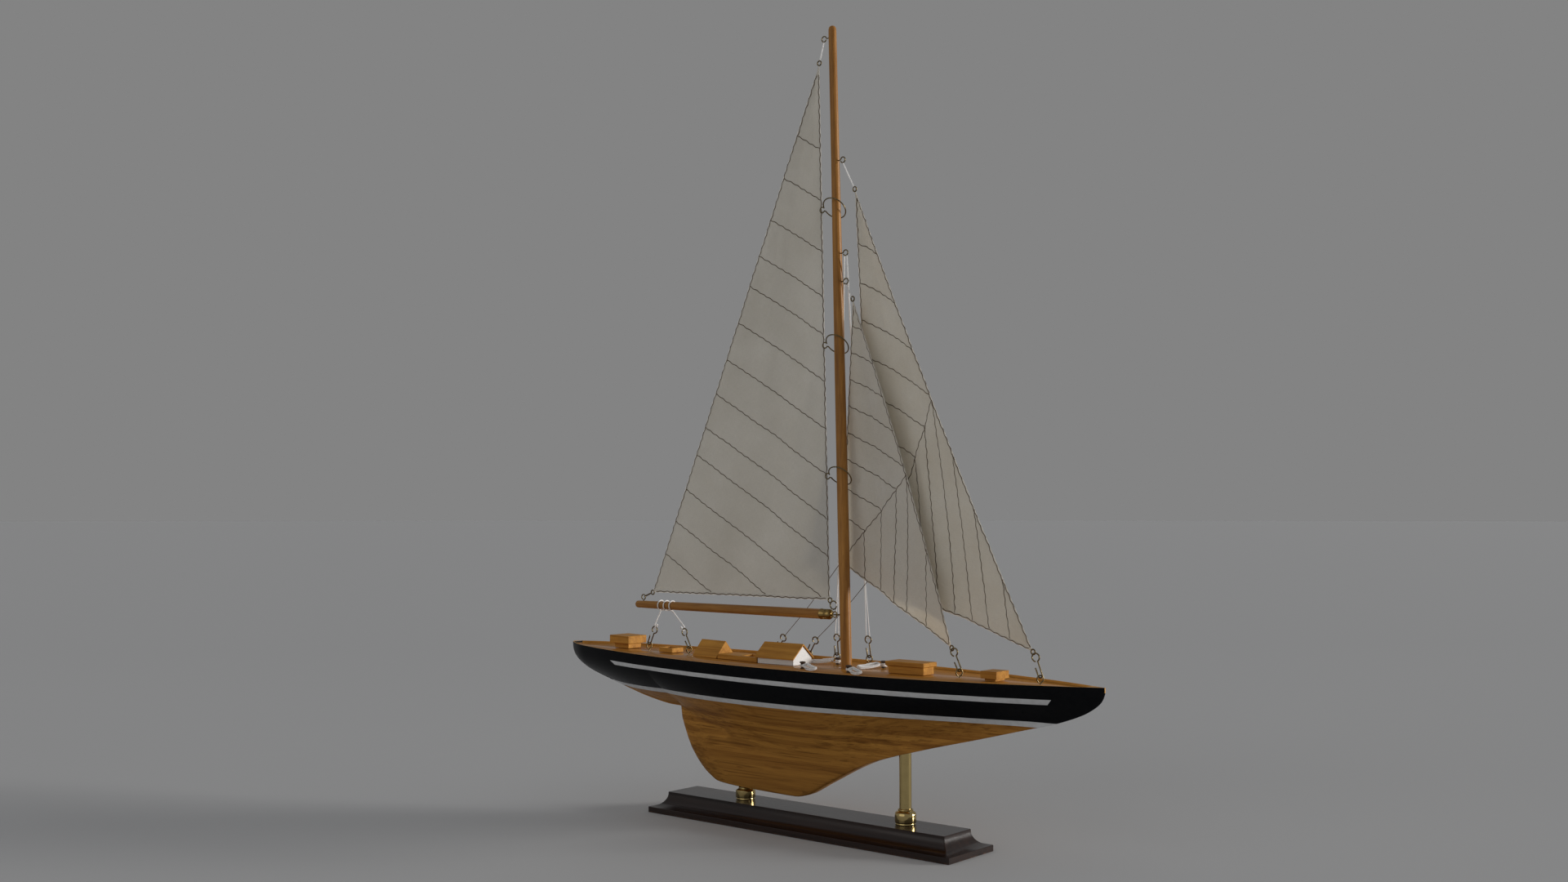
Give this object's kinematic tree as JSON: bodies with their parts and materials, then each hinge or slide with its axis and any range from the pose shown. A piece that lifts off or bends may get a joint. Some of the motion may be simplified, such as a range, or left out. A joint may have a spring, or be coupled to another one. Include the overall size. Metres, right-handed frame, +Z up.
{
  "type": "display model of a sailing yacht",
  "caption": "Wooden display model of a Bermudan racing cutter with canvas sails, brass fittings, deck furniture and a moulded plinth on brass posts.",
  "frame": {"origin": "on the surface the plinth rests on, under the middle of the hull's length", "axes": "+X towards the bow, +Y to port, +Z up the mast"},
  "size_m": [0.6, 0.121, 0.7162],
  "materials": {
    "stained_wood": "gloss varnish over a near-black stain",
    "polished_brass": "polished",
    "painted_hull": "varnished below, black satin paint with two white lines above",
    "deck_wood": "gloss varnish",
    "pine": "satin varnish",
    "bollard_wood": "dark stain",
    "spar_wood": "satin varnish",
    "white_paint": "satin white paint on wood",
    "antique_brass": "darkened, semi-gloss",
    "canvas": "plain-woven cotton with brown stitching",
    "white_cord": "twisted cotton cord",
    "dark_thread": "waxed thread"
  },
  "bodies": {
    "root": {"aft_coaming": "pine", "aft_locker": "pine", "aft_locker_lid": "pine", "aft_post": "polished_brass", "aft_post_ferrule": "polished_brass", "base_plinth": "stained_wood", "bollard_aft_port": "bollard_wood", "bollard_aft_starboard": "bollard_wood", "bollard_fore_port": "bollard_wood", "bollard_fore_starboard": "bollard_wood", "cabin_roof": "pine", "cabin_walls": "white_paint", "cockpit_coaming": "pine", "deck": "deck_wood", "fore_deckhouse": "pine", "fore_deckhouse_lid": "pine", "fore_hatch": "pine", "fore_post": "polished_brass", "fore_post_ferrule": "polished_brass", "gooseneck_eye": "antique_brass", "hank_aft_port": "white_cord", "hank_aft_starboard": "white_cord", "hank_fore_port": "white_cord", "hank_fore_starboard": "white_cord", "hull": "painted_hull", "jib_halyard_eye": "antique_brass", "jib_sheet": "dark_thread", "jib_sheet_eye": "antique_brass", "jib_sheet_hook": "antique_brass", "jib_tack_eye": "antique_brass", "jib_tack_hook": "antique_brass", "mainsheet_aft_eye": "antique_brass", "mainsheet_fore_eye": "antique_brass", "mast": "spar_wood", "masthead_eye": "antique_brass", "shroud_aft_eye": "antique_brass", "shroud_aft_hook": "antique_brass", "shroud_eye": "antique_brass", "shroud_fore_eye": "antique_brass", "shroud_fore_hook": "antique_brass", "shroud_line": "white_cord", "skylight": "pine", "staysail_halyard_eye": "antique_brass", "staysail_sheet": "dark_thread", "staysail_sheet_eye": "antique_brass", "staysail_sheet_hook": "antique_brass", "staysail_tack_eye": "antique_brass", "staysail_tack_hook": "antique_brass"},
    "boom_rig": {"boom": "spar_wood", "boom_ferrule": "polished_brass", "boom_aft_eye": "antique_brass", "mainsail": "canvas", "mainsheet": "white_cord", "mast_hoop_lower": "antique_brass", "mast_hoop_middle": "antique_brass", "mast_hoop_upper": "antique_brass"},
    "mainsheet_aft_hook": {"mainsheet_aft_hook": "antique_brass"},
    "mainsheet_fore_hook": {"mainsheet_fore_hook": "antique_brass"},
    "staysail": {"staysail": "canvas"},
    "jib": {"jib": "canvas"}
  },
  "joints": [
    {"name": "boom_swing", "type": "hinge", "parent": "root", "child": "boom_rig", "pos_m": [0.0396, 0, 0.1912], "axis": [-0.0268, 0, 0.9996], "range_deg": [-3, 3]},
    {"name": "mainsheet_aft_hook_swing", "type": "hinge", "parent": "root", "child": "mainsheet_aft_hook", "pos_m": [-0.1925, 0, 0.15158], "axis": [1, 0, 0], "range_deg": [-16.5, 16.5]},
    {"name": "mainsheet_fore_hook_swing", "type": "hinge", "parent": "root", "child": "mainsheet_fore_hook", "pos_m": [-0.1393, 0, 0.15071], "axis": [1, 0, 0], "range_deg": [-16.5, 16.5]},
    {"name": "staysail_swing", "type": "hinge", "parent": "root", "child": "staysail", "pos_m": [0.1598, 0, 0.1688], "axis": [0.3233, 0, -0.9463], "range_deg": [-2.5, 2.5]},
    {"name": "jib_swing", "type": "hinge", "parent": "root", "child": "jib", "pos_m": [0.2369, 0, 0.1701], "axis": [0.4085, 0, -0.9127], "range_deg": [-1.5, 4]}
  ],
  "couplings": [
    {"joint": "mainsheet_aft_hook_swing", "follows": "boom_swing", "ratio": 5.5},
    {"joint": "mainsheet_fore_hook_swing", "follows": "boom_swing", "ratio": 5.5}
  ]
}
